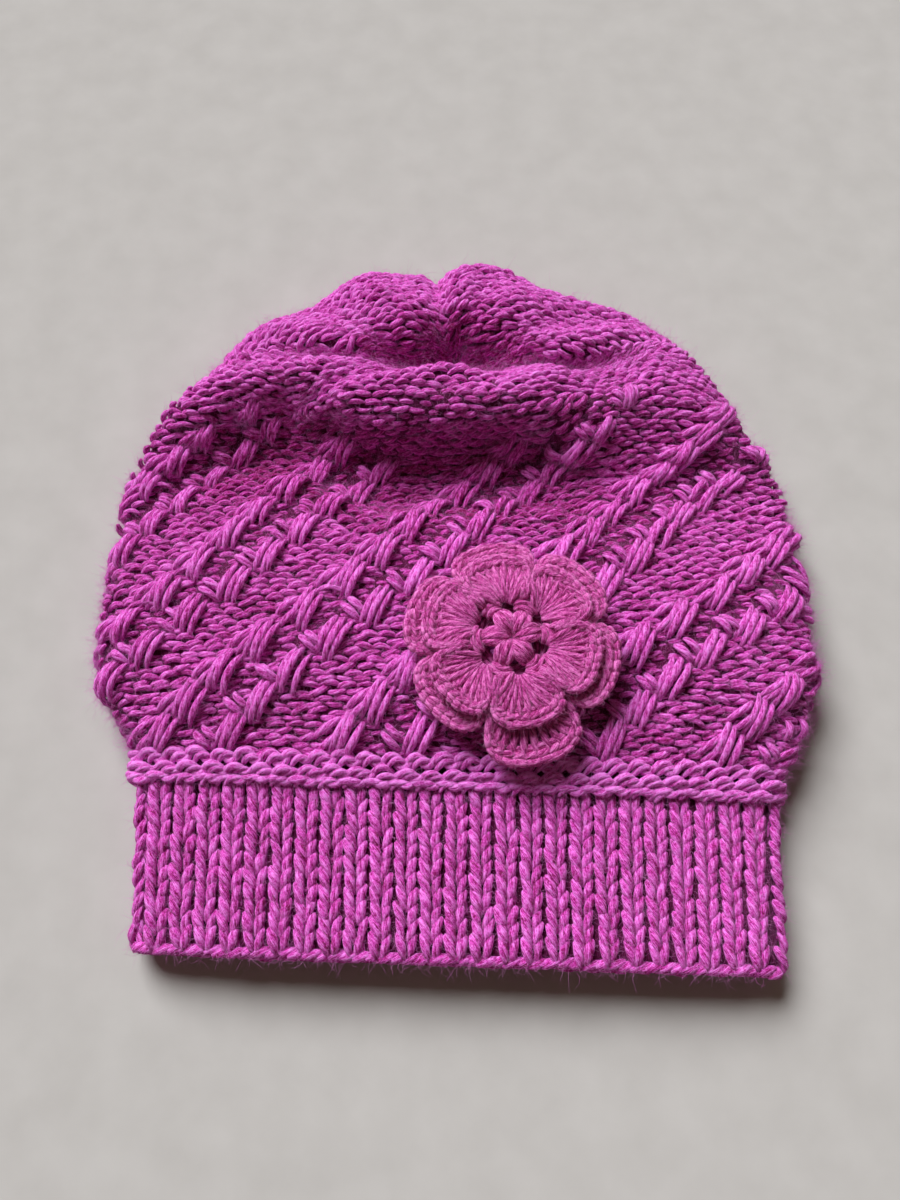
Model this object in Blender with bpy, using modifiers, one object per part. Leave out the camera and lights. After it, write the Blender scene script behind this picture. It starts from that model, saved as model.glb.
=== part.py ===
"""Hand-knitted slouchy beanie lying flat on its back, with a crocheted flower sewn to its front."""

import math

import bmesh
import bpy
import numpy as np
from mathutils import Vector
from mathutils.bvhtree import BVHTree

# Hat as it lies, in metres: the mouth is at the near end and the crown at the far end.
BRIM_WIDTH = 0.213
BRIM_HEIGHT = 0.054
BRIM_THICKNESS = 0.018
BRIM_SLANT = 0.035
WELT_WIDTH = 0.225
WELT_HEIGHT = 0.009
WELT_THICKNESS = 0.0226
BODY_WIDTH = 0.257
BODY_THICKNESS = 0.029
VALLEY_THICKNESS = 0.021
SHOULDER_WIDTH = 0.224
HAT_LENGTH = 0.264
RIDGE_SETBACK = 0.069
RIDGE_THICKNESS = 0.036
LOBE_WIDTH = 0.176
LOBE_THICKNESS = 0.039

# Gathered centre of the crown.
GATHER_SETBACK = 0.052
GATHER_HEIGHT = 0.015
GATHER_RADIUS = 0.0085
GATHER_YARN = 0.0024

# Knitted fabric and its relief.
FABRIC = 0.0034
RIB_COUNT = 52
RIB_DEPTH = 0.0013
WELT_DEPTH = 0.0022
WELT_RIDGES = 2
BAND_COUNT = 8
ROPE_DEPTH = 0.0026
SPIRAL_TURN = 0.30
ROPE_EASE = 0.05
PLEAT_DEPTH = 0.0022

# Crocheted flower, placed from the middle of the hat and from the mouth.
FLOWER_ACROSS = 0.018
FLOWER_UP = 0.102
PETAL_COUNT = 6
PETAL_TURN = math.radians(42)
PETAL_THICKNESS = 0.0026
PETAL_CUP = 0.0022
PETAL_RISE = 0.0012
FRONT_PETAL_REACH = 0.0300
BACK_PETAL_REACH = 0.0370
RING_INNER = 0.0070
RING_OUTER = 0.0145
RING_HEIGHT = 0.0025
CENTRE_RADIUS = 0.0122
CENTRE_HEIGHT = 0.0042
CENTRE_HOLE = 0.0021
HOLE_CIRCLE = 0.0088
STITCH_COUNT = 6
STITCH_YARN = 0.0018
STITCH_CIRCLE = 0.0042

CLEARANCE = 0.0003

# Lengthwise stations, from the mouth, 0, to the gathered centre, 1.
BRIM_STATION = 0.19
WELT_STATION = 0.23
BELLY_STATION = 0.35
WIDEST_STATION = 0.50
VALLEY_STATION = 0.65
BODY_STATION = 0.78
LOBE_STATION = 0.88
PUCKER_STATION = 0.95
STATION_STEP = 0.002

# Columns across one spiral band, and how far each stands up as a share of the rope depth.
BAND_COLUMNS = 10
BAND_PROFILE = np.array([0, 0, 0.35, 1, 0.35, 0.1, 0.35, 1, 0.35, 0])

RING_SAMPLES = 720
FOLD_BIAS = 0.2
FOLD_POWER = 1.85

MAGENTA = (0.50, 0.055, 0.33, 1.0)
ROSE = (0.46, 0.060, 0.26, 1.0)


def clear_scene():
    for old in list(bpy.data.objects):
        bpy.data.objects.remove(old, do_unlink=True)


def yarn_material(name, colour):
    material = bpy.data.materials.new(name)
    material.use_nodes = True
    shader = material.node_tree.nodes["Principled BSDF"]
    shader.inputs["Base Color"].default_value = colour
    shader.inputs["Roughness"].default_value = 0.9
    shader.inputs["Metallic"].default_value = 0.0
    return material


def stations():
    """Rows of station, front (y, z), back (y, z) and side (x, y, z) of the inner face of the fabric."""
    welt = BRIM_HEIGHT + WELT_HEIGHT
    ridge = HAT_LENGTH - RIDGE_SETBACK
    gather = HAT_LENGTH - GATHER_SETBACK
    body = ridge - welt
    fold = HAT_LENGTH - FABRIC
    lobe = fold - gather

    def row(at, front, back, side):
        return (at, front[0], front[1] - FABRIC, back[0], back[1], side[0] / 2 - FABRIC, side[1], side[2])

    def flat(at, y, thickness, width, back_y=None, side_y=None):
        far = y if back_y is None else back_y
        mid = y if side_y is None else side_y
        return row(at, (y, thickness), (far, FABRIC), (width, mid, thickness * 0.48))

    return np.array([
        flat(0.0, 0.0, BRIM_THICKNESS, BRIM_WIDTH),
        flat(BRIM_STATION, BRIM_HEIGHT, BRIM_THICKNESS + 0.1 * FABRIC, WELT_WIDTH - FABRIC),
        flat(WELT_STATION, welt, WELT_THICKNESS, WELT_WIDTH),
        flat(BELLY_STATION, welt + 0.25 * body, BODY_THICKNESS, BODY_WIDTH - FABRIC,
             welt + 0.30 * body, welt + 0.21 * body),
        flat(WIDEST_STATION, welt + 0.50 * body, BODY_THICKNESS - 0.4 * FABRIC, BODY_WIDTH,
             welt + 0.70 * body, welt + 0.43 * body),
        flat(VALLEY_STATION, welt + 0.82 * body, VALLEY_THICKNESS, BODY_WIDTH - FABRIC,
             welt + 1.10 * body, welt + 0.76 * body),
        row(BODY_STATION, (ridge, RIDGE_THICKNESS), (fold - FABRIC, 2.6 * FABRIC),
            (SHOULDER_WIDTH, ridge + 0.02 * body, 0.48 * RIDGE_THICKNESS)),
        row(LOBE_STATION, (gather - 0.22 * lobe, RIDGE_THICKNESS - 0.3 * FABRIC),
            (fold, 0.55 * LOBE_THICKNESS),
            (LOBE_WIDTH, gather + 0.05 * lobe, 0.66 * LOBE_THICKNESS)),
        row(PUCKER_STATION, (gather - 0.17 * lobe, 0.72 * RIDGE_THICKNESS),
            (gather + 0.60 * lobe, LOBE_THICKNESS - FABRIC),
            (0.5 * LOBE_WIDTH, gather + 0.16 * lobe, LOBE_THICKNESS - 2 * FABRIC)),
        row(1.0, (gather - GATHER_RADIUS, GATHER_HEIGHT + FABRIC), (gather + GATHER_RADIUS, GATHER_HEIGHT),
            (2 * GATHER_RADIUS + 2 * FABRIC, gather, GATHER_HEIGHT)),
    ])


class Lining:
    """The smooth inner face of the fabric, by station and by share of the way round from the front."""

    def __init__(self, rows):
        self.at = rows[:, 0]
        self.rows = rows[:, 1:]
        span = np.diff(self.at)[:, None]
        slope = np.diff(self.rows, axis=0) / span
        before, after = slope[:-1], slope[1:]
        total = before + after
        inner = np.where(before * after > 0, 2 * before * after / np.where(total == 0, 1, total), 0)
        self.tangent = np.vstack([slope[:1], inner, slope[-1:]])

    def sizes(self, at):
        """Each column of the stations, eased through its rows without overshoot."""
        i = int(np.clip(np.searchsorted(self.at, at) - 1, 0, len(self.at) - 2))
        span = self.at[i + 1] - self.at[i]
        t = (at - self.at[i]) / span
        return (
            (2 * t**3 - 3 * t**2 + 1) * self.rows[i]
            + (t**3 - 2 * t**2 + t) * span * self.tangent[i]
            + (3 * t**2 - 2 * t**3) * self.rows[i + 1]
            + (t**3 - t**2) * span * self.tangent[i + 1]
        )

    def ring(self, at, shares):
        """Points spread by length round one section, a little closer at the side folds."""
        front_y, front_z, back_y, back_z, side_x, side_y, side_z = self.sizes(at)
        angle = np.linspace(0.5 * math.pi, -1.5 * math.pi, RING_SAMPLES + 1)
        across, lift = np.cos(angle), np.sin(angle)
        closing = np.clip((at - VALLEY_STATION) / (1 - VALLEY_STATION), 0, 1)
        square, crest = 0.80 + 0.20 * closing, 0.66 + 0.34 * closing
        rise = np.abs(lift) ** crest
        settle = np.minimum(1, (1.08 - 0.08 * closing) * rise)
        front = lift >= 0
        x = side_x * np.sign(across) * np.abs(across) ** square
        y = side_y + np.where(front, front_y - side_y, back_y - side_y) * np.abs(lift) ** FOLD_POWER
        z = side_z + np.where(front, (front_z - side_z) * rise, (back_z - side_z) * settle)
        fade = np.clip(1 - (at - BRIM_STATION) / (BODY_STATION - BRIM_STATION), 0, 1)
        y = y - BRIM_SLANT * x * fade**2
        points = np.column_stack([x, y, z])
        length = np.concatenate([[0], np.cumsum(np.linalg.norm(np.diff(points, axis=0), axis=1))])
        way = (1 - FOLD_BIAS) * length / length[-1] + FOLD_BIAS * np.linspace(0, 1, RING_SAMPLES + 1)
        return np.column_stack([np.interp(np.mod(shares, 1), way, points[:, i]) for i in range(3)])

    def fabric(self, at, shares, depth):
        """Points that stand depth outside the lining, pressed flat where they meet the table."""
        here = self.ring(at, shares)
        round_it = self.ring(at, shares + STATION_STEP) - self.ring(at, shares - STATION_STEP)
        along = self.ring(at + STATION_STEP, shares) - self.ring(at - STATION_STEP, shares)
        normal = np.cross(round_it, along)
        normal /= np.linalg.norm(normal, axis=1)[:, None]
        points = here + normal * np.broadcast_to(depth, shares.shape)[:, None]
        points[:, 2] = np.maximum(points[:, 2], 0)
        return points

    def gap(self, at):
        """How far apart in station two zones end, for the clearance between them."""
        shares = np.linspace(0, 1, BAND_COUNT, endpoint=False)
        along = self.ring(at + STATION_STEP, shares) - self.ring(at - STATION_STEP, shares)
        speed = np.linalg.norm(along, axis=1) / (2 * STATION_STEP)
        return 0.5 * CLEARANCE / speed.min()


def twist(at):
    """How far round the spiral bands have turned at a station."""
    return SPIRAL_TURN * (at - WELT_STATION) / (BODY_STATION - WELT_STATION)


def add_object(name, mesh, material, collection, root):
    mesh.materials.clear()
    mesh.materials.append(material)
    mesh.shade_smooth()
    obj = bpy.data.objects.new(name, mesh)
    obj.parent = root
    collection.objects.link(obj)
    return obj


def loft(name, rings, leaning=0):
    """Skins rings of equal count into one closed tube whose last ring meets its first.

    The first strips, as many as leaning, and the closing strip split along their other diagonal:
    that is the short one where the rings turn, and it keeps the ends of two zones parallel.
    """
    shape = bmesh.new()
    rows = [[shape.verts.new(point) for point in ring] for ring in rings]
    count = len(rows[0])
    for i, row in enumerate(rows):
        following = rows[(i + 1) % len(rows)]
        for k in range(count):
            corners = [row[k], row[(k + 1) % count], following[(k + 1) % count], following[k]]
            if i < leaning or i == len(rows) - 1:
                corners = corners[1:] + corners[:1]
            shape.faces.new(corners)
    bmesh.ops.recalc_face_normals(shape, faces=shape.faces)
    mesh = bpy.data.meshes.new(name)
    shape.to_mesh(mesh)
    shape.free()
    return mesh


def zone(name, lining, start, end, columns, outer_rows, inner_rows, relief, turned):
    """One knitted zone: an outer face with its relief, and the plain inner face, joined at both ends."""
    shares = np.arange(columns) / columns
    rings = []
    for at in np.linspace(start, end, outer_rows):
        offset = twist(at) if turned else 0
        rings.append(lining.fabric(at, shares + offset, FABRIC + relief(at, np.arange(columns))))
    for at in np.linspace(end, start, inner_rows):
        offset = twist(at) if turned else 0
        rings.append(lining.ring(at, shares + offset))
    return loft(name, rings, outer_rows - 1)


def rib_relief(at, column):
    return RIB_DEPTH * (0.5 + 0.5 * np.cos(0.5 * math.pi * column))


def welt_relief(at, column):
    across = (at - BRIM_STATION) / (WELT_STATION - BRIM_STATION)
    return WELT_DEPTH * np.full(column.shape, abs(math.sin(WELT_RIDGES * math.pi * across)))


def body_relief(at, column):
    fade = min(1, (at - WELT_STATION) / ROPE_EASE)
    return ROPE_DEPTH * fade * BAND_PROFILE[column % BAND_COLUMNS]


def crown_relief(at, column):
    closing = (at - BODY_STATION) / (1 - BODY_STATION)
    ropes = ROPE_DEPTH * (1 - closing) * BAND_PROFILE[column % BAND_COLUMNS]
    pleats = 0.5 + 0.5 * np.cos(2 * math.pi * column / BAND_COLUMNS)
    return ropes + PLEAT_DEPTH * math.sin(math.pi * closing) * pleats


def build_hat(lining, add):
    """The four knitted zones, from the mouth to the crown."""
    band_columns = BAND_COUNT * BAND_COLUMNS
    brim_gap, welt_gap, body_gap = (lining.gap(at) for at in (BRIM_STATION, WELT_STATION, BODY_STATION))
    brim = zone("rib_brim", lining, 0, BRIM_STATION - brim_gap, 4 * RIB_COUNT, 4, 3, rib_relief, False)
    welt = zone("purl_welt", lining, BRIM_STATION + brim_gap, WELT_STATION - welt_gap, band_columns, 9, 2,
                welt_relief, False)
    body = zone("spiral_body", lining, WELT_STATION + welt_gap, BODY_STATION - body_gap, band_columns,
                19, 9, body_relief, True)
    crown = zone("crown_top", lining, BODY_STATION + body_gap, 1, band_columns, 11, 6, crown_relief, True)
    return [add(mesh.name, mesh) for mesh in (brim, welt, body, crown)]


def gather_yarn(lining, crown):
    """The drawn-up end of yarn that closes the crown: a ring seated in the gathered hole."""
    rim = lining.ring(1, np.linspace(0, 1, BAND_COUNT, endpoint=False))
    middle = rim.mean(axis=0)
    points = np.array([vertex.co for vertex in crown.data.vertices])
    level = points[np.abs(points[:, 2] - middle[2]) < 2 * GATHER_YARN]
    hole = np.hypot(level[:, 0] - middle[0], level[:, 1] - middle[1]).min()
    thickness = min(GATHER_YARN, 0.9 * (hole - CLEARANCE))
    angle = np.linspace(0, 2 * math.pi, 20, endpoint=False)
    rings = []
    for turn in np.linspace(0, 2 * math.pi, 8, endpoint=False):
        radius = hole - CLEARANCE - 0.5 * thickness + 0.5 * thickness * math.cos(turn)
        x = middle[0] + radius * np.cos(angle)
        y = middle[1] + radius * np.sin(angle)
        height = middle[2] + 0.5 * thickness * math.sin(turn)
        rings.append(np.column_stack([x, y, np.full(angle.shape, height)]))
    return loft("gather_yarn", rings)


class FlowerBed:
    """The eased surface under the flower, just clear of every knitted ridge there."""

    def __init__(self, pieces):
        self.trees = []
        for piece in pieces:
            shape = bmesh.new()
            shape.from_mesh(piece.data)
            self.trees.append(BVHTree.FromBMesh(shape))
            shape.free()
        spots = [
            (radius * math.cos(turn), radius * math.sin(turn))
            for radius in np.linspace(0, BACK_PETAL_REACH, 24)
            for turn in np.linspace(0, 2 * math.pi, 72, endpoint=False)
        ]
        heights = np.array([self.height_below(*spot) for spot in spots])
        terms = np.array([self.terms(*spot) for spot in spots])
        self.factors = np.linalg.lstsq(terms, heights, rcond=None)[0]
        self.lift = (heights - terms @ self.factors).max()

    @staticmethod
    def terms(across, up):
        return (1, across, up, across**2, across * up, up**2)

    def height_below(self, across, up):
        """Height of the knitted fabric under a point given from the flower's centre."""
        start = Vector((FLOWER_ACROSS + across, FLOWER_UP + up, 1))
        hits = [tree.ray_cast(start, Vector((0, 0, -1)))[0] for tree in self.trees]
        return max(hit.z for hit in hits if hit)

    def place(self, across, up, height):
        base = float(np.dot(self.terms(across, up), self.factors)) + self.lift
        return Vector((FLOWER_ACROSS + across, FLOWER_UP + up, base + CLEARANCE + height))


def cup(radius, off_axis):
    """How far a petal curls up at a radius and at an angle from its own axis."""
    reach = radius / BACK_PETAL_REACH
    return PETAL_RISE * reach**2 + PETAL_CUP * reach * (off_axis * PETAL_COUNT / math.pi) ** 2


def petal(name, bed, turn, root_radius, reach, layer):
    """A fan-shaped petal: an open cupped surface that Solidify thickens upwards."""
    rows, columns = 6, 6
    shape = bmesh.new()
    grid = []
    for s in np.linspace(0, 1, rows):
        radius = root_radius + s * (reach - root_radius)
        half = 0.62 * (reach - root_radius) * math.sqrt(max(0.03, 1 - max(0, (s - 0.45) / 0.55) ** 2))
        row = []
        for t in np.linspace(-1, 1, columns):
            along = radius - 0.4 * s * (half * t) ** 2 / reach
            wedge = along * math.tan(math.pi / PETAL_COUNT) - 2 * CLEARANCE
            aside = t * min(wedge, half)
            off_axis = math.atan2(aside, along)
            distance = math.hypot(along, aside)
            height = layer + cup(distance, off_axis)
            across = distance * math.cos(turn + off_axis)
            up = distance * math.sin(turn + off_axis)
            row.append(shape.verts.new(bed.place(across, up, height)))
        grid.append(row)
    for inner, outer in zip(grid, grid[1:]):
        for k in range(columns - 1):
            shape.faces.new((inner[k], outer[k], outer[k + 1], inner[k + 1]))
    mesh = bpy.data.meshes.new(name)
    shape.to_mesh(mesh)
    shape.free()
    return mesh


def thicken(obj, thickness):
    solid = obj.modifiers.new("Thickness", "SOLIDIFY")
    solid.thickness = thickness
    solid.offset = 1
    solid.use_even_offset = False


def back_ring(bed):
    """The crocheted foundation ring that carries the back petals."""
    corner = 0.25 * RING_HEIGHT
    profile = [
        (RING_INNER, corner), (RING_INNER + corner, 0), (RING_OUTER - corner, 0), (RING_OUTER, corner),
        (RING_OUTER, RING_HEIGHT - corner), (RING_OUTER - corner, RING_HEIGHT),
        (RING_INNER + corner, RING_HEIGHT), (RING_INNER, RING_HEIGHT - corner),
    ]
    turns = np.linspace(0, 2 * math.pi, 24, endpoint=False)
    rings = [
        [bed.place(radius * math.cos(turn), radius * math.sin(turn), height) for turn in turns]
        for radius, height in profile
    ]
    return loft("flower_back_ring", rings)


def flower_centre(bed):
    """The open centre: a crocheted disc with a ring of holes, one at the root of each petal."""
    outline = bpy.data.curves.new("centre_outline", "CURVE")
    outline.dimensions = "2D"
    outline.fill_mode = "BOTH"
    outline.extrude = 0.5 * CENTRE_HEIGHT
    circles = [(0, 0, CENTRE_RADIUS, 30)]
    for k in range(PETAL_COUNT):
        turn = PETAL_TURN + k * 2 * math.pi / PETAL_COUNT
        circles.append((HOLE_CIRCLE * math.cos(turn), HOLE_CIRCLE * math.sin(turn), CENTRE_HOLE, 8))
    for x, y, radius, count in circles:
        spline = outline.splines.new("POLY")
        spline.points.add(count - 1)
        spline.use_cyclic_u = True
        for k, point in enumerate(spline.points):
            turn = 2 * math.pi * k / count
            point.co = (x + radius * math.cos(turn), y + radius * math.sin(turn), 0, 1)
    guide = bpy.data.objects.new("centre_outline", outline)
    bpy.context.scene.collection.objects.link(guide)
    graph = bpy.context.evaluated_depsgraph_get()
    mesh = bpy.data.meshes.new_from_object(guide.evaluated_get(graph))
    bpy.data.objects.remove(guide, do_unlink=True)
    shape = bmesh.new()
    shape.from_mesh(mesh)
    bmesh.ops.remove_doubles(shape, verts=shape.verts, dist=1e-6)
    base = RING_HEIGHT + CLEARANCE + 0.5 * CENTRE_HEIGHT
    for vertex in shape.verts:
        vertex.co = bed.place(vertex.co.x, vertex.co.y, base + vertex.co.z)
    bmesh.ops.recalc_face_normals(shape, faces=shape.faces)
    shape.to_mesh(mesh)
    shape.free()
    mesh.name = "flower_centre"
    return mesh


def sewing_stitch(name, bed, turn):
    """A short length of sewing yarn between the hat and the underside of the flower's centre."""
    across, up = STITCH_CIRCLE * math.cos(turn), STITCH_CIRCLE * math.sin(turn)
    spots = [
        (across + 0.5 * STITCH_YARN * math.cos(a), up + 0.5 * STITCH_YARN * math.sin(a))
        for a in np.linspace(0, 2 * math.pi, 12, endpoint=False)
    ]
    foot = max(bed.height_below(*spot) for spot in spots) + CLEARANCE
    head = min(bed.place(*spot, RING_HEIGHT).z for spot in spots)
    shape = bmesh.new()
    bmesh.ops.create_cone(shape, cap_ends=True, segments=8, radius1=0.5 * STITCH_YARN,
                          radius2=0.5 * STITCH_YARN, depth=head - foot)
    bmesh.ops.translate(shape, verts=shape.verts,
                        vec=(FLOWER_ACROSS + across, FLOWER_UP + up, 0.5 * (head + foot)))
    mesh = bpy.data.meshes.new(name)
    shape.to_mesh(mesh)
    shape.free()
    return mesh


def build_flower(bed, add, material):
    add("flower_back_ring", back_ring(bed), material)
    add("flower_centre", flower_centre(bed), material)
    front_layer = max(RING_HEIGHT, PETAL_THICKNESS) + 2 * CLEARANCE
    for k in range(PETAL_COUNT):
        turn = PETAL_TURN + 2 * math.pi * k / PETAL_COUNT
        for side, start, reach, layer in (
            ("back", RING_OUTER + CLEARANCE, BACK_PETAL_REACH, 0),
            ("front", CENTRE_RADIUS + CLEARANCE, FRONT_PETAL_REACH, front_layer),
        ):
            name = f"flower_{side}_petal_{k + 1}"
            thicken(add(name, petal(name, bed, turn, start, reach, layer), material), PETAL_THICKNESS)
    for k in range(STITCH_COUNT):
        name = f"sewing_stitch_{k + 1}"
        add(name, sewing_stitch(name, bed, 2 * math.pi * k / STITCH_COUNT), material)


def centre_on_origin(root, objects):
    """Moves the whole hat so that the middle of its underside is at the origin."""
    bpy.context.view_layer.update()
    graph = bpy.context.evaluated_depsgraph_get()
    corners = np.array([corner for obj in objects for corner in obj.evaluated_get(graph).bound_box])
    middle = 0.5 * (corners.min(axis=0) + corners.max(axis=0))
    root.location = (-middle[0], -middle[1], -corners[:, 2].min())


def main():
    clear_scene()
    hat = bpy.data.collections.new("flower_beanie")
    bpy.context.scene.collection.children.link(hat)
    root = bpy.data.objects.new("beanie_root", None)
    hat.objects.link(root)
    knit = yarn_material("magenta_knit", MAGENTA)
    crochet = yarn_material("rose_crochet", ROSE)
    made = []

    def add(name, mesh, material=knit):
        made.append(add_object(name, mesh, material, hat, root))
        return made[-1]

    lining = Lining(stations())
    zones = build_hat(lining, add)
    add("gather_yarn", gather_yarn(lining, zones[-1]))
    build_flower(FlowerBed(zones), add, crochet)
    centre_on_origin(root, made)


main()
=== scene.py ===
"""Magenta hand-knitted slouchy beanie, strand by strand, with a two-layer crocheted flower."""

import math

import bpy
import numpy as np
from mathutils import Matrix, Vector


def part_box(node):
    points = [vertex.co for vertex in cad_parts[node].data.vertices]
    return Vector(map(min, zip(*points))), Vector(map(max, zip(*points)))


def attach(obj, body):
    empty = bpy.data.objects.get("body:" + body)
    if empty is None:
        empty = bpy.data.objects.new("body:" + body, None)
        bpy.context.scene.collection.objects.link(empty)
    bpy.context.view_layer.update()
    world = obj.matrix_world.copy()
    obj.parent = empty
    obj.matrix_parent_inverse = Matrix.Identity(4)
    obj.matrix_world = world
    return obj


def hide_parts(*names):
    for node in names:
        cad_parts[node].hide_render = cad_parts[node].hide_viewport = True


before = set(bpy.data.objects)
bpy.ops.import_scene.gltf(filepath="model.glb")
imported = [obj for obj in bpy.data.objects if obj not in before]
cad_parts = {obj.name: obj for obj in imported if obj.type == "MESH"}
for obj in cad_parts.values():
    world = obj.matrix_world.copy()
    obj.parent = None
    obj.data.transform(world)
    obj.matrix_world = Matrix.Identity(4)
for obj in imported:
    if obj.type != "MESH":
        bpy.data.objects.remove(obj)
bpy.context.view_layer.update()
random = np.random.default_rng(20)
MM = 0.001

# The hat as it lies, in metres from the middle of its mouth, as its solids have it.
BRIM_WIDTH, BRIM_HEIGHT, BRIM_THICKNESS, BRIM_SLANT = 0.213, 0.054, 0.018, 0.035
WELT_WIDTH, WELT_HEIGHT, WELT_THICKNESS = 0.225, 0.009, 0.0226
BODY_WIDTH, BODY_THICKNESS, VALLEY_THICKNESS, SHOULDER_WIDTH = 0.257, 0.029, 0.021, 0.224
HAT_LENGTH, RIDGE_SETBACK, RIDGE_THICKNESS = 0.264, 0.069, 0.036
LOBE_WIDTH, LOBE_THICKNESS = 0.176, 0.039
GATHER_SETBACK, GATHER_HEIGHT, GATHER_RADIUS = 0.052, 0.015, 0.0085
FABRIC = 0.0034
RIB_COUNT, BAND_COUNT, SPIRAL_TURN = 52, 8, 0.30
FOLD_POWER = 1.85
BRIM_END, WELT_END, VALLEY, BODY_END = 0.19, 0.23, 0.65, 0.78
RING_INNER, RING_OUTER, RING_HEIGHT = 0.0070, 0.0145, 0.0025

hat_shift = np.array([0.0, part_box("crown_top")[1].y - HAT_LENGTH, 0])


def stations():
    """Rows of station, front (y, z), back (y, z) and side (x, y, z) of the inner face of the fabric."""
    welt = BRIM_HEIGHT + WELT_HEIGHT
    ridge = HAT_LENGTH - RIDGE_SETBACK
    gather = HAT_LENGTH - GATHER_SETBACK
    body = ridge - welt
    fold = HAT_LENGTH - FABRIC
    lobe = fold - gather

    def row(at, front, back, side):
        return (at, front[0], front[1] - FABRIC, back[0], back[1], side[0] / 2 - FABRIC, side[1], side[2])

    def flat(at, y, thickness, width, back_y, side_y):
        return row(at, (y, thickness), (back_y, FABRIC), (width, side_y, thickness * 0.48))

    def level(at, y, thickness, width):
        return flat(at, y, thickness, width, y, y)

    return np.array([
        level(0.0, 0.0, BRIM_THICKNESS, BRIM_WIDTH),
        level(BRIM_END, BRIM_HEIGHT, BRIM_THICKNESS + 0.1 * FABRIC, WELT_WIDTH - FABRIC),
        level(WELT_END, welt, WELT_THICKNESS, WELT_WIDTH),
        flat(0.35, welt + 0.25 * body, BODY_THICKNESS, BODY_WIDTH - FABRIC,
             welt + 0.30 * body, welt + 0.21 * body),
        flat(0.50, welt + 0.50 * body, BODY_THICKNESS - 0.4 * FABRIC, BODY_WIDTH,
             welt + 0.70 * body, welt + 0.43 * body),
        flat(VALLEY, welt + 0.82 * body, VALLEY_THICKNESS, BODY_WIDTH - FABRIC,
             welt + 1.10 * body, welt + 0.76 * body),
        row(BODY_END, (ridge, RIDGE_THICKNESS), (fold - FABRIC, 2.6 * FABRIC),
            (SHOULDER_WIDTH, ridge + 0.02 * body, 0.48 * RIDGE_THICKNESS)),
        row(0.88, (gather - 0.22 * lobe, RIDGE_THICKNESS - 0.3 * FABRIC), (fold, 0.55 * LOBE_THICKNESS),
            (LOBE_WIDTH, gather + 0.05 * lobe, 0.66 * LOBE_THICKNESS)),
        row(0.95, (gather - 0.17 * lobe, 0.72 * RIDGE_THICKNESS),
            (gather + 0.60 * lobe, LOBE_THICKNESS - FABRIC),
            (0.5 * LOBE_WIDTH, gather + 0.16 * lobe, LOBE_THICKNESS - 2 * FABRIC)),
        row(1.0, (gather - GATHER_RADIUS, GATHER_HEIGHT + FABRIC), (gather + GATHER_RADIUS, GATHER_HEIGHT),
            (2 * GATHER_RADIUS + 2 * FABRIC, gather, GATHER_HEIGHT)),
    ])


# The edge where the crown slumps over the body, in millimetres: across, up, its rise and the hollow below it.
SLUMP_EDGE = np.array([
    (-128, 168, 0.0, 0.0), (-114, 183, 1.5, 3.5), (-100, 196, 2.5, 8.0), (-86, 205, 3.0, 12.0),
    (-66, 207, 3.0, 13.0), (-52, 201, 3.0, 10.0), (-40, 193, 3.5, 8.0), (-28, 187, 4.0, 8.0),
    (-8, 189, 4.0, 8.5), (15, 191, 4.0, 8.5), (36, 189, 3.5, 7.0), (52, 180, 1.5, 3.0), (80, 172, 0.0, 0.0),
])


def ease(value):
    """Goes smoothly from 0 to 1."""
    value = np.clip(value, 0, 1)
    return value**2 * (3 - 2 * value)


def bump(value, middle, width, power=2):
    """1 at the middle and near 0 beyond the width; a higher power has a flatter top and steeper sides."""
    return np.exp(-(((value - middle) / width) ** power))


def unit(vectors):
    return vectors / np.linalg.norm(vectors, axis=-1, keepdims=True)


def lengths_along(path):
    """How far along a path each of its points lies."""
    return np.concatenate([[0], np.cumsum(np.linalg.norm(np.diff(path, axis=0), axis=1))])


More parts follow.
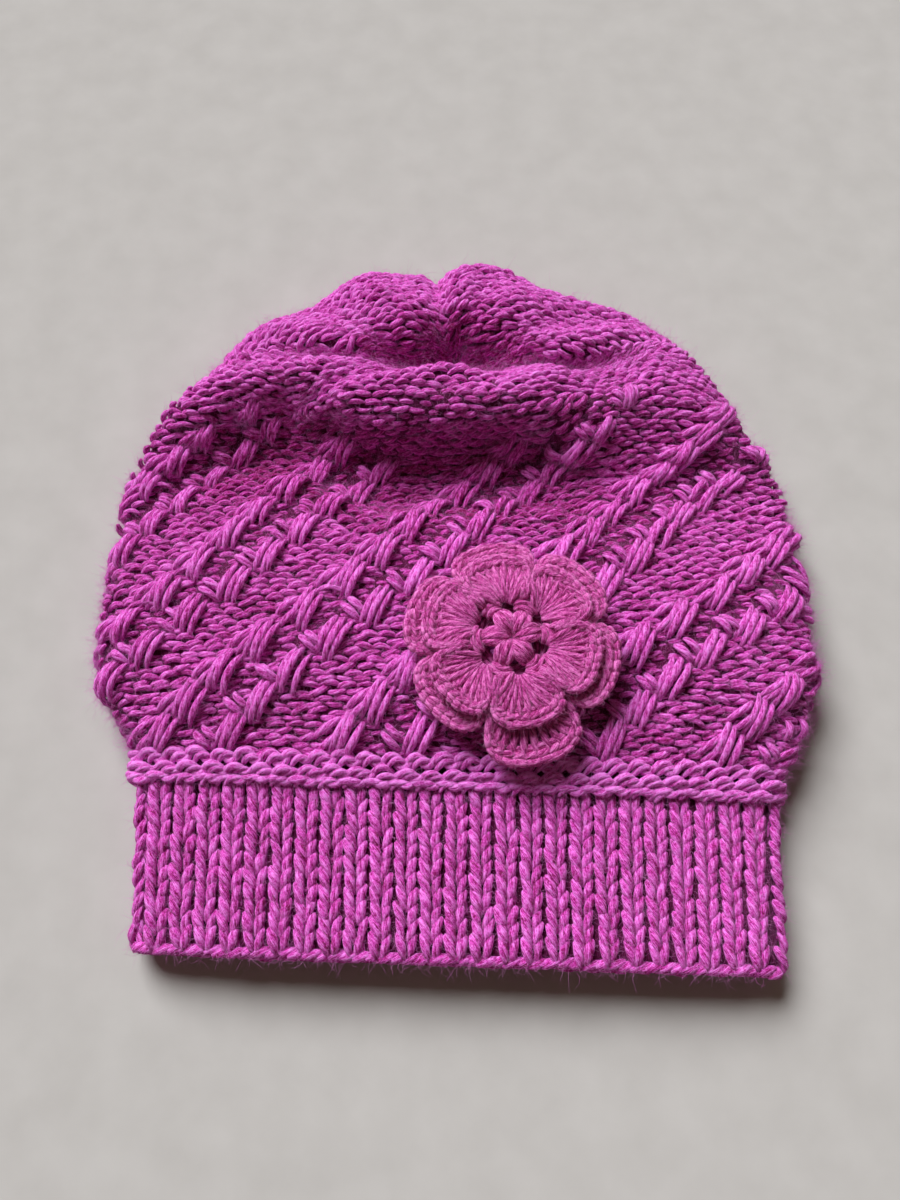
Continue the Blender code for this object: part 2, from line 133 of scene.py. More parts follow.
class Cloth:
    """The knitted fabric by station along it, share of the way round and depth out from its inner face."""

    STATIONS, SHARES = 360, 720

    def __init__(self):
        rows = stations()
        self.at, self.rows = rows[:, 0], rows[:, 1:]
        span = np.diff(self.at)[:, None]
        slope = np.diff(self.rows, axis=0) / span
        before, after = slope[:-1], slope[1:]
        total = before + after
        inner = np.where(before * after > 0, 2 * before * after / np.where(total == 0, 1, total), 0)
        self.tangent = np.vstack([slope[:1], inner, slope[-1:]])
        self.grid_at = np.linspace(0, 1, self.STATIONS + 1)
        rings = [self.ring(at) for at in self.grid_at]
        self.points = np.stack([points for points, girth in rings])
        self.points += self.folds()
        self.points += hat_shift
        self.girths = np.array([girth for points, girth in rings])
        along = np.gradient(self.points, 1 / self.STATIONS, axis=0)
        self.speeds = np.linalg.norm(along, axis=2, keepdims=True)
        wrapped = np.concatenate([self.points[:, -2:-1], self.points, self.points[:, 1:2]], axis=1)
        around = wrapped[:, 2:] - wrapped[:, :-2]
        self.normals = unit(np.cross(around, along))
        lengths = np.linalg.norm(around, axis=2, keepdims=True) * self.speeds
        self.skews = np.sum(around * along, axis=2, keepdims=True) / lengths

    def sizes(self, at):
        i = int(np.clip(np.searchsorted(self.at, at) - 1, 0, len(self.at) - 2))
        span = self.at[i + 1] - self.at[i]
        t = (at - self.at[i]) / span
        return (
            (2 * t**3 - 3 * t**2 + 1) * self.rows[i]
            + (t**3 - 2 * t**2 + t) * span * self.tangent[i]
            + (3 * t**2 - 2 * t**3) * self.rows[i + 1]
            + (t**3 - t**2) * span * self.tangent[i + 1]
        )

    def ring(self, at):
        """One section of the inner face, evenly spread by length, and its length."""
        front_y, front_z, back_y, back_z, side_x, side_y, side_z = self.sizes(at)
        angle = np.linspace(0.5 * math.pi, -1.5 * math.pi, 4 * self.SHARES + 1)
        across, lift = np.cos(angle), np.sin(angle)
        closing = np.clip((at - VALLEY) / (1 - VALLEY), 0, 1)
        square, crest = 0.80 + 0.20 * closing, 0.66 + 0.34 * closing
        rise = np.abs(lift) ** crest
        settle = np.minimum(1, (1.08 - 0.08 * closing) * rise)
        front = lift >= 0
        x = side_x * np.sign(across) * np.abs(across) ** square
        y = side_y + np.where(front, front_y - side_y, back_y - side_y) * np.abs(lift) ** FOLD_POWER
        z = side_z + np.where(front, (front_z - side_z) * rise, (back_z - side_z) * settle)
        fade = np.clip(1 - (at - BRIM_END) / (BODY_END - BRIM_END), 0, 1)
        points = np.column_stack([x, y - BRIM_SLANT * x * fade**2, z])
        length = lengths_along(points)
        even = np.linspace(0, length[-1], self.SHARES + 1)
        return np.column_stack([np.interp(even, length, points[:, i]) for i in range(3)]), length[-1]

    def folds(self):
        """How far the soft crown's drape shifts each place; also notes how deep in shade the place lies, as
        painted shade for its strands.
        """
        x, y = self.points[..., 0] / MM, self.points[..., 1] / MM
        at = np.broadcast_to(self.grid_at[:, None], x.shape)
        share = np.broadcast_to(np.linspace(0, 1, self.SHARES + 1), x.shape)
        facing = np.cos(2 * math.pi * share)
        front, back = (np.clip((side - 0.1) / 0.5, 0, 1) for side in (facing, -facing))

        # Out from the fabric: roll before the dimple, hollow below, dent low on the right, groove, pleats.
        edge, rise, fall = (np.interp(x, SLUMP_EDGE[:, 0], column) for column in SLUMP_EDGE.T[1:])
        behind = y - edge
        roll = rise * ease((behind + 11) / 15) * ease((26 - behind) / 14)
        hollow = fall * bump(behind, -19, 16, 4)
        dent = 4.0 * bump(x, 58, 16, 4) * bump(y, 84, 13)
        crown = np.clip((at - 0.80) / 0.05, 0, 1) * np.clip((0.99 - at) / 0.04, 0, 1)
        groove = back * crown * 4.5 * bump(x, -6, 5.5)
        closing = np.clip((at - BODY_END) / (1 - BODY_END), 0, 1)
        pleats = np.cos(2 * math.pi * BAND_COUNT * (share - twist(at)))
        lift = front * (roll - hollow - dent) - groove + 1.6 * np.sin(math.pi * closing) * pleats

        # Up the hat: two lobes, the sides, the right shoulder and edge, and the dimple's far wall.
        lobes = 3.5 * bump(x, 20, 17) + 3.5 * bump(x, -33, 16)
        sides = 3.8 * bump(x, -75, 24) - 3.0 * bump(x, 45, 14)
        slip = lobes * ease((y - 225) / 25) + sides * ease((y - 190) / 30)
        slip += 6.0 * bump(x, 78, 15) * ease((y - 180) / 20)
        slip -= 5.5 * ease((x - 88) / 26) * ease((y - 150) / 40)
        slip -= 6.0 * back * ease((at - 0.87) / 0.06) * ease((0.995 - at) / 0.03)

        # Painted shade: the strands below the roll and in the dimple are darkened by these amounts.
        painted_shade_below = front * np.sqrt(fall / 13) * bump(behind, -28, 19, 4)
        dimple = 1.15 * ease((at - 0.945) / 0.03)
        self.painted_shades = np.maximum(painted_shade_below, dimple)[..., None]
        normal = unit(np.cross(np.gradient(self.points, axis=1), np.gradient(self.points, axis=0)))
        return (normal * lift[..., None] + np.stack([0 * slip, slip, 0 * slip], axis=-1)) * MM

    def look(self, grid, at, share):
        """A grid's value between its stations and shares; past its ends it goes straight on."""
        row = at * self.STATIONS
        i = np.clip(np.floor(row).astype(int), 0, self.STATIONS - 1)
        f = (row - i)[..., None]
        column = np.mod(share, 1) * self.SHARES
        k = np.clip(np.floor(column).astype(int), 0, self.SHARES - 1)
        g = (column - k)[..., None]
        near = (1 - g) * grid[i, k] + g * grid[i, k + 1]
        far = (1 - g) * grid[i + 1, k] + g * grid[i + 1, k + 1]
        return (1 - f) * near + f * far

    def place(self, at, share, depth):
        at, share, depth = np.broadcast_arrays(at, share, depth)
        normal = unit(self.look(self.normals, np.clip(at, 0, 1), share))
        return self.look(self.points, at, share) + normal * depth[..., None], normal

    # Painted shade: how much darker the strands are made at a place, from 0 to about 1.
    def shade(self, at, share):
        return self.look(self.painted_shades, at, share)[:, 0]

    def girth(self, at):
        return np.interp(at, self.grid_at, self.girths)

    def near(self, at, share, across, up, depth, square=False):
        """Points given in metres across, up and out from places on the fabric, one row of points a place."""
        if square:
            skew = self.look(self.skews, np.clip(at, 0, 1), share)
            level = np.sqrt(1 - skew**2)
            across, up = across - up * skew / level, up / level
        speed = self.look(self.speeds, np.clip(at, 0, 1), share)
        return self.place(at[:, None] + up / speed, share[:, None] + across / self.girth(at)[:, None], depth)

    def beside(self, at, share, way, across, up, depth):
        """Points given in metres along a way over the fabric, across it and out, from places on it."""
        point, normal = self.place(at, share, 0)
        way = unit(way - normal * np.sum(way * normal, axis=1, keepdims=True))
        over = np.cross(normal, way)
        shape = np.broadcast_shapes(np.shape(across), np.shape(up), np.shape(depth), (len(at), 1))
        across, up, depth = (np.broadcast_to(part, shape)[..., None] for part in (across, up, depth))
        path = point[:, None] + way[:, None] * across + over[:, None] * up + normal[:, None] * depth
        return path, np.broadcast_to(normal[:, None], path.shape)

    def stretch(self, at, share):
        """How much further apart the courses lie than on the middle of the front."""
        here = self.look(self.speeds, np.clip(at, 0, 1), share)[..., 0]
        front = self.look(self.speeds, np.clip(at, 0, 1), 0 * share)[..., 0]
        return np.clip(here / front, 0.8, 1.5)

    def behind_edge(self, at, share):
        """How far up from the edge of the slumped crown places on the front lie, in millimetres."""
        point = (self.place(at, share, 0)[0] - hat_shift) / MM
        behind = point[:, 1] - np.interp(point[:, 0], SLUMP_EDGE[:, 0], SLUMP_EDGE[:, 1])
        return np.where((point[:, 2] > 14) & (point[:, 0] < 44), behind, -100)

    def courses(self, start, end, spacing, width):
        """Places and ways of stitches in courses laid evenly from one station on to another."""
        first, last = round(start * self.STATIONS), round(end * self.STATIONS) + 1
        step = np.linalg.norm(np.diff(self.points[first:last], axis=0), axis=2)
        run = np.concatenate([np.zeros((1, self.SHARES + 1)), np.cumsum(step, axis=0)])
        distances = np.arange(0.3 * spacing, run[-1].max(), spacing)
        columns = range(self.SHARES + 1)
        table = np.stack([np.interp(distances, run[:, k], self.grid_at[first:last]) for k in columns], axis=1)
        share = np.linspace(0, 1, self.SHARES + 1)
        for j, distance in enumerate(distances):
            path = self.place(table[j], share, 0)[0]
            steps = np.linalg.norm(np.diff(path, axis=0), axis=1) * (distance < run[-1, 1:])
            length = np.concatenate([[0], np.cumsum(steps)])
            count = max(3, round(length[-1] / width))
            shares = np.interp((np.arange(count) + 0.25 * (j % 4)) / count * length[-1], length, share)
            ats = np.interp(shares, share, table[j])
            ahead = self.place(np.interp(shares + 0.003, share, table[j]), shares + 0.003, 0)[0]
            yield ats, shares, ahead - self.place(ats, shares, 0)[0]

    def front_rows(self, start, end, count):
        """Stations that divide the front of the hat evenly by length."""
        at = np.linspace(start, end, 200)
        path = self.place(at, np.zeros(200), 0)[0]
        length = lengths_along(path)
        return np.interp((np.arange(count) + 0.5) / count * length[-1], length, at)


def twist(at):
    """How far round the bands have turned by a station."""
    return SPIRAL_TURN * (at - WELT_END) / (BODY_END - WELT_END)


class Yarn:
    """Gathers strands of yarn into one piece: closed tapering tubes with their own bake layout."""

    # How far a tube's end stands out, in half widths, and the least height over the floor.
    CAP, LOWEST = 0.6, 0.1 * MM

    def __init__(self, name, sides=6):
        self.name, self.sides, self.batches = name, sides, []

    def add(self, path, normal, across, deep, tint=0.0):
        """Strands (count, points, 3) with half their width across the fabric and half their depth."""
        if not len(path):
            return
        path, normal = np.asarray(path, float), np.asarray(normal, float)
        shape = path.shape[:2]
        across, deep = np.broadcast_to(across, shape), np.broadcast_to(deep, shape)
        tangent = unit(np.gradient(path, axis=1))
        side = unit(np.cross(normal, tangent))
        self.batches.append((path, tangent, side, np.cross(tangent, side), across, deep,
                             np.broadcast_to(tint, shape[:1])))

    def mesh_batch(self, batch, first_strand, columns, rows):
        """Corners, quads, caps, both layouts and tints; the bake layout has a cell for each strand."""
        path, tangent, side, up, across, deep, tint = batch
        count, points = path.shape[:2]
        sides = self.sides
        k = np.arange(sides)
        turn = 2 * math.pi * k / sides
        rings = (
            path[:, :, None]
            + side[:, :, None] * (across[:, :, None] * np.sin(turn))[..., None]
            - up[:, :, None] * (deep[:, :, None] * np.cos(turn))[..., None]
        )
        start = path[:, 0] - tangent[:, 0] * self.CAP * across[:, :1]
        finish = path[:, -1] + tangent[:, -1] * self.CAP * across[:, -1:]
        corners = np.concatenate([rings.reshape(count, -1, 3), start[:, None], finish[:, None]], axis=1)
        corners[..., 2] = np.maximum(corners[..., 2], self.LOWEST)
        each = points * sides + 2
        base = (np.arange(count) * each)[:, None, None]
        following = (k + 1) % sides
        here = np.arange(points - 1)[:, None] * sides
        there = here + sides
        quads = np.stack([here + k, here + following, there + following, there + k], axis=-1)
        quads = quads + base[..., None]
        last = (points - 1) * sides
        fore = base + np.stack([np.full(sides, each - 2), following, k], axis=-1)
        aft = base + np.stack([np.full(sides, each - 1), last + k, last + following], axis=-1)
        tris = np.concatenate([fore.reshape(-1, 3), aft.reshape(-1, 3)])

        step = np.linalg.norm(np.diff(path, axis=1), axis=2)
        length = np.concatenate([np.zeros((count, 1)), np.cumsum(step, axis=1)], axis=1)
        shift = 40 * np.mod(first_strand * 0.37 + np.arange(count) * 0.618, 1)
        left, right = k / sides, (k + 1) / sides

        def face_values(*pairs):
            """The value round the strand and the one along it at each corner of each face."""
            pairs = [np.stack(np.broadcast_arrays(*pair), axis=-1) for pair in pairs]
            return np.stack(pairs, axis=-2).reshape(-1, 2)

        def lay(values, past):
            """Corner values of the quads and both caps, from values along each strand and past its ends."""
            near, far = values[:, :-1, None], values[:, 1:, None]
            first, final = values[:, :1], values[:, -1:]
            middle = 0.5 * (left + right)
            return [
                face_values((left, near), (right, near), (right, far), (left, far)),
                face_values((middle, first - past), (right, first), (left, first)),
                face_values((middle, final + past), (left, final), (right, final)),
            ]

        yarn = lay(length / MM + shift[:, None], 1)
        margin = 0.06
        bake = lay(2 * margin + (1 - 4 * margin) * length / length[:, -1:], margin)
        for part in bake:
            cell = first_strand + np.repeat(np.arange(count), len(part) // count)
            part[:, 0] = (cell % columns + margin + (1 - 2 * margin) * part[:, 0]) / columns
            part[:, 1] = (cell // columns + part[:, 1]) / rows
        return corners.reshape(-1, 3), quads.reshape(-1, 4), tris, yarn, bake, np.repeat(tint, each)

    def build(self, material, slot, *nodes):
        strands = sum(len(batch[0]) for batch in self.batches)
        columns = math.ceil(math.sqrt(strands))
        rows = math.ceil(strands / columns)
        parts = []
        first_strand = first_point = 0
        for batch in self.batches:
            points, quads, tris, yarn, bake, tints = self.mesh_batch(batch, first_strand, columns, rows)
            layouts = yarn[0], np.concatenate(yarn[1:]), bake[0], np.concatenate(bake[1:])
            parts.append((points, quads + first_point, tris + first_point, *layouts, tints))
            first_strand += len(batch[0])
            first_point += len(points)
        joined = map(np.concatenate, zip(*parts))
        points, quads, tris, quad_yarn, tri_yarn, quad_bake, tri_bake, tints = joined
        mesh = bpy.data.meshes.new(self.name)
        mesh.vertices.add(first_point)
        mesh.vertices.foreach_set("co", points.astype(np.float32).ravel())
        loops = np.concatenate([quads.ravel(), tris.ravel()])
        mesh.loops.add(len(loops))
        mesh.loops.foreach_set("vertex_index", loops.astype(np.int32))
        mesh.polygons.add(len(quads) + len(tris))
        starts = np.concatenate([4 * np.arange(len(quads)), 4 * len(quads) + 3 * np.arange(len(tris))])
        mesh.polygons.foreach_set("loop_start", starts.astype(np.int32))
        for layer, values in (("OFBake", (quad_bake, tri_bake)), ("yarn", (quad_yarn, tri_yarn))):
            uv = mesh.uv_layers.new(name=layer)
            uv.data.foreach_set("uv", np.concatenate(values).astype(np.float32).ravel())
        tint = mesh.attributes.new("tint", "FLOAT", "POINT")
        tint.data.foreach_set("value", tints.astype(np.float32))
        mesh.update(calc_edges=True)
        mesh.validate()
        mesh.shade_smooth()
        dress(mesh, material, slot, *nodes)


def add_object(data):
    """Adds an object named after its data to the scene."""
    made = bpy.data.objects.new(data.name, data)
    bpy.context.scene.collection.objects.link(made)
    return made


def numbered(name):
    return [f"{name}_{k}" for k in range(1, 7)]


def dress(mesh, material, slot, *nodes):
    """Makes a piece of a mesh: it rides with the hat and stands for the solids it covers."""
    mesh.materials.append(material)
    piece = add_object(mesh)
    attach(piece, "root")
    if nodes:
        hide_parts(*nodes)


class Value:
    """A socket that takes plain arithmetic; each operation adds a Math node."""

    def __init__(self, finish, socket):
        self.finish, self.socket = finish, socket

    def math(self, operation, *others):
        return self.finish.node("ShaderNodeMath", {"operation": operation}, self, *others)["Value"]

    def __add__(self, other):
        return self.math("ADD", other)

    def __sub__(self, other):
        return self.math("SUBTRACT", other)

    def __mul__(self, other):
        return self.math("MULTIPLY", other)

    def __truediv__(self, other):
        return self.math("DIVIDE", other)

    __radd__ = __add__


class Finish:
    """A material or world under construction, round its shader."""

    def __init__(self, owner, shader="Principled BSDF"):
        owner.use_nodes = True
        self.owner, self.tree = owner, owner.node_tree
        self.shader = self.tree.nodes[shader]

    def set(self, socket, value):
        if isinstance(value, Value):
            self.tree.links.new(value.socket, socket)
        else:
            socket.default_value = value

    def node(self, kind, settings=None, *values, **named):
        """Adds a node, sets it up, fills its sockets in order or by name, and returns its outputs by name."""
        node = self.tree.nodes.new(kind)
        for key, value in (settings or {}).items():
            if key == "stops":
                while len(node.color_ramp.elements) < len(value):
                    node.color_ramp.elements.new(0.5)
                for stop, (place, colour) in zip(node.color_ramp.elements, value):
                    stop.position, stop.color = place, (*colour, 1)
            else:
                setattr(node, key, value)
        for socket, value in zip(node.inputs, values):
            self.set(socket, value)
        for key, value in named.items():
            self.set(node.inputs[key.replace("_", " ")], value)
        return {output.name: Value(self, output) for output in node.outputs}

    def surface(self, **named):
        for key, value in named.items():
            self.set(self.shader.inputs[key.replace("_", " ")], value)
        return self.owner


def yarn_finish(name, shadow, body, light, sheen):
    """Loosely spun wool blend: fine fibres along a slightly twisted yarn, heathered from place to place."""
    finish = Finish(bpy.data.materials.new(name))
    uv = finish.node("ShaderNodeUVMap", {"uv_map": "yarn"})["UV"]
    place = finish.node("ShaderNodeSeparateXYZ", None, uv)
    lean = place["X"] + place["Y"] / 24
    fibre_at = finish.node("ShaderNodeCombineXYZ", None, lean * 26, place["Y"] * 0.42, 0.0)["Vector"]
    fibre = finish.node("ShaderNodeTexNoise", {"noise_dimensions": "2D"}, Vector=fibre_at, Scale=1.0,
                        Detail=3.0, Roughness=0.65)["Fac"]
    # The ply stripes darken the colour a little in the grooves between plies: painted shade; they also feed
    # the bump.
    ply = ((lean * 4) * (2 * math.pi)).math("SINE")
    object_place = finish.node("ShaderNodeTexCoord")["Object"]
    speck = finish.node("ShaderNodeTexNoise", None, Vector=object_place, Scale=1500.0, Detail=2.0,
                        Roughness=0.7)["Fac"]
    patch = finish.node("ShaderNodeTexNoise", None, Vector=object_place, Scale=210.0, Detail=2.0)["Fac"]
    # The tint attribute shifts each strand's tone: partly at random, partly painted light and painted shade
    # set by where the strand lies.
    tint = finish.node("ShaderNodeAttribute", {"attribute_name": "tint"})["Fac"]
    tone = fibre * 1.75 + speck * 0.9 + ply * 0.12 + patch * 0.5 + tint * 0.09 - 1.06
    colour = finish.node("ShaderNodeValToRGB", {"stops": [(0.17, shadow), (0.49, body), (0.84, light)]},
                         tone)["Color"]
    height = fibre + speck * 0.6 + ply * 0.2
    normal = finish.node("ShaderNodeBump", None, Strength=0.7, Distance=0.5 * MM, Height=height)["Normal"]
    finish.set(finish.shader.inputs["Sheen Tint"], (*sheen, 1))
    finish.set(finish.shader.inputs["Subsurface Radius"], (1.0, 0.25, 0.7))
    return finish.surface(Base_Color=colour, Roughness=0.95, Normal=normal, Specular_IOR_Level=0.08,
                          Sheen_Weight=0.3, Sheen_Roughness=0.5,
                          Subsurface_Weight=0.12, Subsurface_Scale=1.2 * MM)


def fuzz_finish(name, colour, sheen):
    """The loose fibres that stand off the yarn."""
    finish = Finish(bpy.data.materials.new(name))
    object_place = finish.node("ShaderNodeTexCoord")["Object"]
    patch = finish.node("ShaderNodeTexNoise", None, Vector=object_place, Scale=120.0)["Fac"]
    # The paler fibres in random patches are mixed toward the sheen colour: partly random tone, partly painted
    # sheen.
    pale = tuple(0.55 * c + 0.45 * s for c, s in zip(colour, sheen))
    shade = finish.node("ShaderNodeValToRGB", {"stops": [(0.35, colour), (0.7, pale)]}, patch)["Color"]
    return finish.surface(Base_Color=shade, Roughness=0.75, Sheen_Weight=0.3)


def legs(cloth, yarn, at, share, foot, head, rise, outer, deep, width, wobble):
    """Slim pairs of strands that lean together at the top, as the legs of knit stitches do."""
    t = np.linspace(0, 1, 7)
    swell = np.sin(math.pi * (0.10 + 0.72 * t)) ** 0.8
    count = len(at)
    for hand, fuller, forward in ((-1, 0.97, -0.3), (1, 1.05, 0.2)):
        across = hand * (head + (foot - head) * (1 - t) ** 0.85) * MM
        up = (-0.16 + 1.16 * t) * rise * MM
        lift = (outer + forward + deep * (np.sin(math.pi * (0.12 + 0.66 * t)) - 1)) * MM
        jitter = random.normal(0, wobble, (4, count, 1)) * MM
        path, normal = cloth.near(at, share, across + jitter[0] + 1.6 * jitter[3] * (t - 0.5),
                                  up + jitter[1], lift + 0.6 * jitter[2])
        size = (1 + random.normal(0, 0.08, (count, 1))) * swell * fuller * width * MM
        yarn.add(path, normal, size, 0.88 * size, random.normal(0, 0.5, count))


def build_rib(cloth, knit):
    """The ribbed brim: columns of legs outside and inside, purl bars in the gutters, a soft cast-on edge."""
    rows = 12
    at = BRIM_END * (np.arange(rows) + 0.06) / (rows - 0.15)
    shares = (np.arange(RIB_COUNT) + 0.5) / RIB_COUNT
    at, share = (grid.ravel() for grid in np.meshgrid(at, shares, indexing="ij"))
    outer = Yarn("rib_stitches")
    legs(cloth, outer, at, share,
         foot=3.35, head=1.15, rise=6.5, outer=3.2, deep=1.4, width=1.68, wobble=0.28)
    t = np.linspace(-1, 1, 5)
    gutter, normal = cloth.near(at, share + 0.5 / RIB_COUNT, 2.2 * t * MM, (0.35 * t**2) * MM,
                                (1.3 - 0.9 * t**2) * MM)
    # Painted shade: the gutter bars are tinted darker.
    outer.add(gutter, normal, 1.15 * MM, 0.9 * MM, -1.2 + random.normal(0, 0.3, len(at)))
    count = 2 * RIB_COUNT
    across, deep = (1.75 - 0.5 * t**2) * MM, (1.6 - 0.4 * t**2) * MM
    for lean, up, depth in ((0.7, -0.5, 1.7), (-0.6, -0.9, 0.5)):
        jitter = random.normal(0, 0.22, (3, count, 1))
        edge, normal = cloth.near(
            np.zeros(count), (np.arange(count) + 0.5) / count, (3.3 * t + jitter[0]) * MM,
            (up + lean * t + jitter[1]) * MM, (depth - 0.5 * t**2 + jitter[2]) * MM)
        outer.add(edge, normal, across, deep, random.normal(0, 0.4, count))
    outer.build(knit, "magenta_knit", "rib_brim")

    inner = Yarn("rib_lining", 5)
    legs(cloth, inner, at, share + 0.5 / RIB_COUNT,
         foot=2.75, head=1.0, rise=6.3, outer=0.55, deep=-1.1, width=1.55, wobble=0.14)
    inner.build(knit, "magenta_knit")
    return outer


def build_welt(cloth, knit):
    """The purl welt: three rows, each of two arched strands and a sagging one to a stitch."""
    yarn = Yarn("welt_purls", 7)
    count = RIB_COUNT + 2
    share = (np.arange(count) + 0.5) / count
    t = np.linspace(-1, 1, 9)
    taper = 1 - 0.5 * np.abs(t) ** 3

    def strand(part, shares, across, up, depth, wide):
        at = np.full(count, BRIM_END + part * (WELT_END - BRIM_END))
        jitter = random.normal(0, 0.28, (4, count, 1))
        path, normal = cloth.near(at, shares, (across + jitter[0]) * MM,
                                  (up + jitter[1] + jitter[2] * t) * MM, (depth + 0.7 * jitter[3]) * MM)
        size = (1 + random.normal(0, 0.08, (count, 1))) * taper * wide * MM
        # Painted light: the welt's strands are tinted well lighter than the rest.
        yarn.add(path, normal, size, 0.92 * size, random.normal(2.2, 0.5, count))

    for part, start, lift in ((0.04, 0.0, 5.8), (0.58, 0.4, 5.3), (0.94, 0.85, 4.2)):
        along = share + start / count
        strand(part, along, 4.2 * t, 1.5 - 3.0 * t**2 + 0.8 * t, lift - 1.5 * t**2, 1.34)
        strand(part, along + 0.25 / count, 3.6 * t, 0.3 - 2.2 * t**2 + 0.9 * t, lift + 0.2 - 1.5 * t**2, 1.15)
        strand(part, along + 0.5 / count, 3.7 * t, -1.4 + 2.6 * t**2 + 0.8 * t, lift - 0.3 - 1.3 * t**2, 1.28)
    yarn.build(knit, "magenta_knit", "purl_welt")
    return yarn


def between_ropes(at, share):
    """1 between the two ropes of a band, where the purl ground sinks and its strands get painted shade, and 0
    away from there.
    """
    band = np.mod((share - twist(at)) * BAND_COUNT, 1)
    return bump(band, 0.5, 0.12) * np.clip((BODY_END + 0.1 - at) / 0.1, 0, 1)


def purl_course(cloth, yarn, at, share, way, width, course):
    """One course of purl stitches: arched heads and, half a stitch on, the sagging loops between them."""
    t = np.linspace(-1, 1, 6)
    taper = 1 - 0.4 * np.abs(t) ** 3
    count = len(at)
    sunken = between_ropes(at, share)
    base = 2.1 - 1.5 * sunken[:, None]
    # Painted shade and painted light in the tone: the body's ground a little darker, the crown's lighter,
    # darker still between the ropes and where the cloth notes painted shade.
    tone = np.where(at < BODY_END, -0.2, 0.6) - 0.9 * sunken - 3.0 * cloth.shade(at, share)
    for part, place, bow in ((0.0, 0.26, 1.0), (0.5, -0.24, -1.0)):
        shift = random.normal(0, 0.34, (3, count, 1))
        tilt = random.normal(0.12, 0.34, (count, 1))
        across = ((0.54 * t + part) * width + shift[0]) * MM
        up = (place * course + bow * 0.7 * (0.4 - t**2) + tilt * 1.6 * t + shift[1]) * MM
        lift = (base + 0.45 - 1.9 * t**2 + 0.6 * shift[2]) * MM
        path, normal = cloth.beside(at, share, way, across, up, lift)
        size = (1 + random.normal(0, 0.10, (count, 1))) * taper * MM
        yarn.add(path, normal, 1.2 * size, 1.1 * size, random.normal(0, 0.55, count) + tone)


def build_ground(cloth, knit):
    """The purl ground in even courses: those of the body in three pieces, then those of the crown."""
    names = ("body_purls_1", "body_purls_2", "body_purls_3", "crown_purls")
    nodes = ("spiral_body", "spiral_body", "spiral_body", "crown_top")
    yarns = [Yarn(name) for name in names]
    zones = ((WELT_END - 0.004, BODY_END, 4.5, 6.4, yarns[:3]), (BODY_END, 1, 4.3, 6.2, yarns[3:]))
    for start, end, course, width, pieces in zones:
        for j, (at, share, way) in enumerate(cloth.courses(start, end, course * MM, width * MM)):
            piece = pieces[min(j // 11, len(pieces) - 1)]
            purl_course(cloth, piece, at, share, way, width, course)
    for yarn, node in zip(yarns, nodes):
        yarn.build(knit, "magenta_knit", node)
    return yarns


# Strands of one step of a rope, in millimetres: four points across and up, half width and height.
LEANING_STRANDS = (
    (((-5.4, -6.4), (-3.6, -2.0), (-1.3, 2.6), (0.9, 7.6)), 1.6, 4.9),
    (((-3.3, -7.8), (-1.2, -2.9), (1.1, 2.2), (3.4, 7.4)), 1.7, 5.5),
    (((-0.8, -8.4), (1.2, -3.6), (3.5, 1.0), (5.8, 5.8)), 1.6, 5.0),
)
LOWER_ROPE = LEANING_STRANDS + (
    (((-10.2, 2.7), (-8.5, 0.9), (-6.2, -1.3), (-4.0, -3.7)), 1.6, 4.8),
    (((-12.1, 0.4), (-10.4, -1.4), (-8.2, -3.6), (-6.1, -6.0)), 1.6, 4.5),
)
UPPER_ROPE = LEANING_STRANDS + (
    (((-10.9, -2.7), (-7.8, 0.0), (-4.6, 2.2), (-1.4, 4.4)), 1.6, 4.6),
    (((-9.0, -5.6), (-5.8, -3.0), (-2.8, -0.5), (0.4, 1.6)), 1.6, 4.5),
)
ROPES = ((0.31, UPPER_ROPE), (0.69, LOWER_ROPE))
LADDER_STRAND = ((1.5, 5.0), (5.5, 7.2), (10.0, 7.0), (14.0, 5.2))


def smooth_line(points, count):
    """Points on an even cubic through four given ones."""
    t = np.linspace(0, 1, count)[:, None]
    knots = np.array([0, 1 / 3, 2 / 3, 1])
    total = np.zeros((count, len(points[0])))
    for i, point in enumerate(points):
        weight = np.ones((count, 1))
        for j, knot in enumerate(knots):
            if j != i:
                weight *= (t - knot) / (knots[i] - knot)
        total += weight * np.array(point)
    return total


